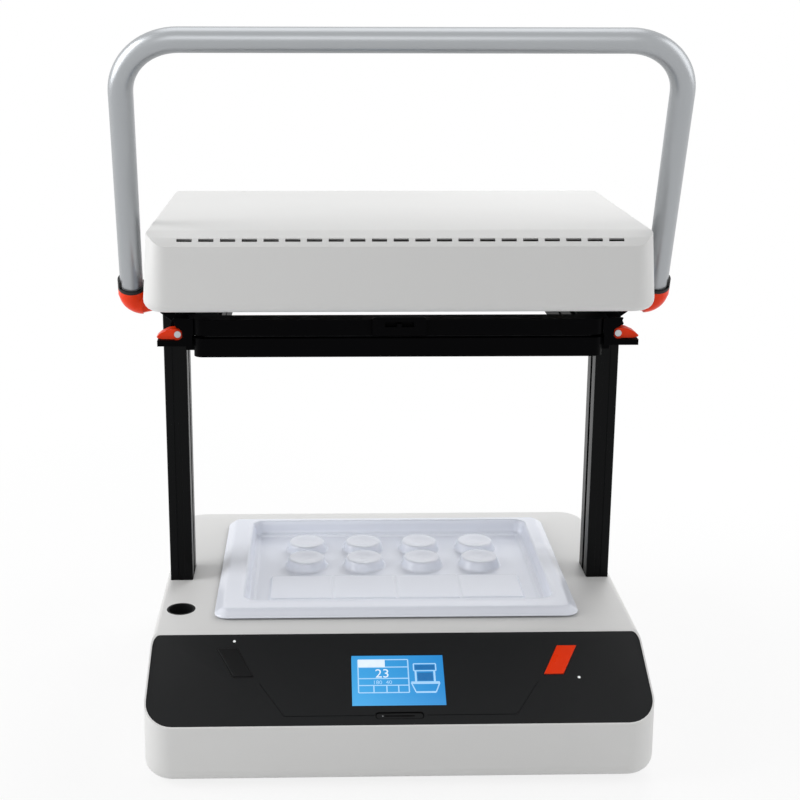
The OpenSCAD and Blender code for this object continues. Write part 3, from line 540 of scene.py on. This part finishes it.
def displayMarks(marks):
    pale = litMark("litPaleBlue", "#B4E0FF", 0.9)
    white = litMark("litWhite", "#F2FBFF", 0.95)
    deep = litMark("litDeepBlue", "#1268A8", 0.8)
    left, top, right, low = marks["table"]
    line, lift = marks["line"], marks["lift"]
    table = frameOf(left, top, right, low, line)
    table += [bar((left, y), (right, y), line) for y in marks["rules"]]
    table += [bar((left + x, marks["rules"][2]), (left + x, low), line) for x in marks["cells"]]
    x0, headTop, x1, headLow = marks["head"]
    bed, foot, over, thicker = marks["bed"], marks["foot"], marks["overhang"], marks["thicker"]
    footLeft, footRight = (x0 + marks["footIn"], foot), (x1 - marks["footIn"], foot)
    machine = frameOf(x0, headTop, x1, headLow, line)
    machine += [bar((x, headLow), (x, bed), line * thicker["columns"])
                for x in (x0 + marks["columnIn"], x1 - marks["columnIn"])]
    machine += [bar((x0 - over, bed), (x1 + over, bed), line * thicker["bed"]),
                bar((x0 - over, bed), footLeft, line), bar((x1 + over, bed), footRight, line),
                bar(footLeft, footRight, line * thicker["foot"])]
    shade = [patch(x0 + side, upper + fromTop, x1 - side, lower - fromLow)
             for (side, fromTop, fromLow), upper, lower in ((marks["headShade"], headTop, headLow),
                                                            (marks["gapShade"], headLow, bed))]
    lit("display_lines", table + machine, lift, pale)
    lit("display_shade", shade, lift, deep)
    lit("display_tab", [patch(left, top, marks["tab"], marks["rules"][0])], 2 * lift, white)
    numerals("display_reading", *marks["reading"], 2 * lift, white)
    numerals("display_settings", *marks["settings"], 2 * lift, pale)


displayMarks(screen)
print("display lit")


# Flat matt marks, nearly without reflection: black ones are painted shade, white ones are print, and a pale grey
# one is a dot
def printedAndPaintedShade(name, colour):
    finish, tree, shader = newFinish(name, {"IOR": 1.45, "Specular IOR Level": 0.05})
    weathered(tree, shader, colour, 0.1, 3, (0.6, 0.7), 0.8, 0.01)
    return finish


# Insert below the display, from the glass's corner: a dark rim of painted shade round its sunk edge, a dark slot
# of painted shade, and a small pale dot
insert = {"left": 39.1, "down": 61.6, "sunk": -0.34, "lengthMm": 34.0, "radiusMm": 3.3, "rimMm": 0.8,
          "slotMm": (24.0, 0.6), "dotMm": (0.1, 0.55), "dotAside": -14.2}


# Points round a bar with half-round ends
def capsule(length, radius, steps=10):
    turns = [math.pi * i / steps for i in range(steps + 1)]
    right = [(length / 2 + radius * math.sin(t), -radius * math.cos(t)) for t in turns]
    return right + [(-x, -y) for x, y in right]


def insertMarks(plan):
    def placed(points, aside=0):
        return [(plan["left"] + aside + x, plan["down"] + y) for x, y in points]

    outer = placed(capsule(plan["lengthMm"], plan["radiusMm"]))
    inner = placed(capsule(plan["lengthMm"], plan["radiusMm"] - plan["rimMm"]))
    rim = [[outer[i - 1], inner[i - 1], inner[i], outer[i]] for i in range(len(outer))]
    black, white = printedAndPaintedShade("paintedShadeMattBlack", "#030303"), printedAndPaintedShade("paleDotMark", "#9A9C9E")
    # Rim and slot are painted shade in matt black; the dot is a pale flat mark
    lit("insert_painted_shade_rim", rim, plan["sunk"], black)
    lit("insert_painted_shade_slot", [placed(capsule(*plan["slotMm"]))], plan["sunk"], black)
    lit("insert_dot", [placed(capsule(*plan["dotMm"]), plan["dotAside"])], plan["sunk"], white)


# Bar and ring on the two faces of the rocker, from its own pivot and tilt
rockerMarks = {
    "tiltDeg": 8, "faceMm": (3.2, 0.0, 4.4, 9.6), "liftMm": 0.05,
    "barMm": (0.5, 3.2, 7.0),           # half width, near end and far end
    "ringMm": (5.2, 1.8, 1.3),          # middle, outer and inner radius
    "steps": 24,
}


def markRocker(plan):
    pivot = next(Vector(j["pos_m"]) for j in frame["joints"] if j["name"] == "main_switch_rock")
    tilt = Matrix.Rotation(math.radians(plan["tiltDeg"]), 3, "X")
    y0, z0, y1, z1 = plan["faceMm"]
    length = math.hypot(y1 - y0, z1 - z0)

    def onFace(side, x, along):
        y = y0 + (y1 - y0) / length * along + z1 / length * plan["liftMm"]
        z = side * ((z1 - z0) / length * along - (y1 - y0) / length * plan["liftMm"])
        return pivot + tilt @ Vector((x, y, z)) * mm

    half, low, high = plan["barMm"]
    bars = [[onFace(1, x, s) for x, s in ((half, low), (-half, low), (-half, high), (half, high))]]
    middle, outer, inner = plan["ringMm"]
    turns = [2 * math.pi * i / plan["steps"] for i in range(plan["steps"])]
    rings = [[onFace(-1, r * math.cos(t), middle + r * math.sin(t)) for t, r in
              ((turns[i - 1], outer), (turns[i - 1], inner), (turns[i], inner), (turns[i], outer))]
             for i in range(plan["steps"])]
    mesh = bpy.data.meshes.new("rockerMarks")
    points = [p for outline in bars + rings for p in outline]
    mesh.from_pydata(points, [], [list(range(i, i + 4)) for i in range(0, len(points), 4)])
    addPiece("rocker_marks", mesh, bodyOf["main_switch"], slotOf["main_switch"],
             printedAndPaintedShade("whitePrint", "#E8E8E6"))


insertMarks(insert)
markRocker(rockerMarks)
print("small marks printed")


# Camera, where the photograph was taken from
view = {"lensMm": 63.01, "sensorMm": 36, "shift": (0.0527, -0.0664),
        "placeM": (-0.0648, -1.2369, 0.6346), "yaw": 1.483, "pitch": 13.863, "roll": -0.158}
lens = bpy.data.cameras.new("camera")
lens.lens = view["lensMm"]
lens.sensor_width = view["sensorMm"]
lens.shift_x, lens.shift_y = view["shift"]
camera = bpy.data.objects.new("camera", lens)
camera.location = view["placeM"]
camera.rotation_euler = Euler((math.radians(90 - view["pitch"]), math.radians(view["roll"]),
                               math.radians(-view["yaw"])), "XYZ")
bpy.context.collection.objects.link(camera)
bpy.context.scene.camera = camera


# Studio: soft boxes at both sides, above, in front and behind, over a pale floor
studio = {
    "floorM": 12, "floorHex": "#F2F2F2",
    "whiteShare": 0.82, "fadeM": (0.4, 0.9),    # seen floor: this white at the object, all white farther off
    "aimM": (0, 0, 0.3),
    "lamps": {                                  # the one behind doesn't show as a reflection
        "left": {"placeM": (-1.5, -0.2, 0.9), "sizeM": (0.9, 1.5), "watts": 15},
        "right": {"placeM": (1.6, -0.1, 0.9), "sizeM": (0.9, 1.5), "watts": 7},
        "above": {"placeM": (0.0, 0.3, 2.0), "sizeM": (1.6, 1.2), "watts": 7},
        "front": {"placeM": (-0.2, -2.2, 1.3), "sizeM": (1.6, 1.0), "watts": 6},
        "behind": {"placeM": (0.6, 1.4, 0.9), "sizeM": (0.9, 0.6), "watts": 12, "mirrored": False},
    },
    "worldStrength": 0.36,
}


def studioFloor(plan):
    half = plan["floorM"] / 2
    mesh = bpy.data.meshes.new("floor")
    mesh.from_pydata([(-half, -half, 0), (half, -half, 0), (half, half, 0), (-half, half, 0)], [],
                     [(0, 1, 2, 3)])
    floor = bpy.data.objects.new("floor", mesh)
    bpy.context.collection.objects.link(floor)
    finish, tree, shader = newFinish("paleFloor", {"Roughness": 0.9, "Specular IOR Level": 0.0,
                                                   "Base Color": linear(plan["floorHex"])})
    path = addNode(tree, "LightPath")
    seen = addNode(tree, "Math", {0: path.outputs["Is Camera Ray"], 1: path.outputs["Is Glossy Ray"]},
                   operation="MAXIMUM")
    seenToo = addNode(tree, "Math", {0: seen.outputs[0], 1: path.outputs["Is Transmission Ray"]},
                      operation="MAXIMUM")
    place = addNode(tree, "TexCoord")
    away = addNode(tree, "VectorMath", {0: place.outputs["Object"]}, operation="LENGTH")
    fade = addNode(tree, "MapRange", {"Value": away.outputs["Value"], "From Min": plan["fadeM"][0],
                                      "From Max": plan["fadeM"][1], "To Min": plan["whiteShare"]})
    share = addNode(tree, "Math", {0: seenToo.outputs[0], 1: fade.outputs["Result"]}, operation="MULTIPLY")
    white = addNode(tree, "Emission", {"Color": (1, 1, 1, 1), "Strength": 1.0})
    mixed = addNode(tree, "MixShader", {"Fac": share.outputs[0], 1: shader.outputs["BSDF"],
                                        2: white.outputs["Emission"]})
    tree.links.new(mixed.outputs["Shader"], tree.nodes["Material Output"].inputs["Surface"])
    mesh.materials.append(finish)


def studioLamps(plan):
    aim = Vector(plan["aimM"])
    for name, lamp in plan["lamps"].items():
        light = bpy.data.lights.new(name, "AREA")
        light.shape = "RECTANGLE"
        light.size, light.size_y = lamp["sizeM"]
        light.energy = lamp["watts"]
        holder = bpy.data.objects.new(name, light)
        holder.location = lamp["placeM"]
        holder.rotation_euler = (aim - holder.location).to_track_quat("-Z", "Y").to_euler()
        holder.visible_glossy = lamp.get("mirrored", True)
        bpy.context.collection.objects.link(holder)


def studioWorld(plan):
    world = bpy.data.worlds.new("studio")
    bpy.context.scene.world = world
    world.use_nodes = True
    tree = world.node_tree
    tree.nodes["Background"].inputs["Color"].default_value = (1, 1, 1, 1)
    path = addNode(tree, "LightPath")
    seen = addNode(tree, "Math", {0: path.outputs["Is Camera Ray"], 1: path.outputs["Is Glossy Ray"]},
                   operation="MAXIMUM")
    strength = addNode(tree, "MapRange", {"Value": seen.outputs[0],
                                          "To Min": plan["worldStrength"], "To Max": 1.0})
    tree.links.new(strength.outputs["Result"], tree.nodes["Background"].inputs["Strength"])


studioFloor(studio)
studioLamps(studio)
studioWorld(studio)
bpy.context.scene.view_settings.view_transform = "Standard"
print("studio set")
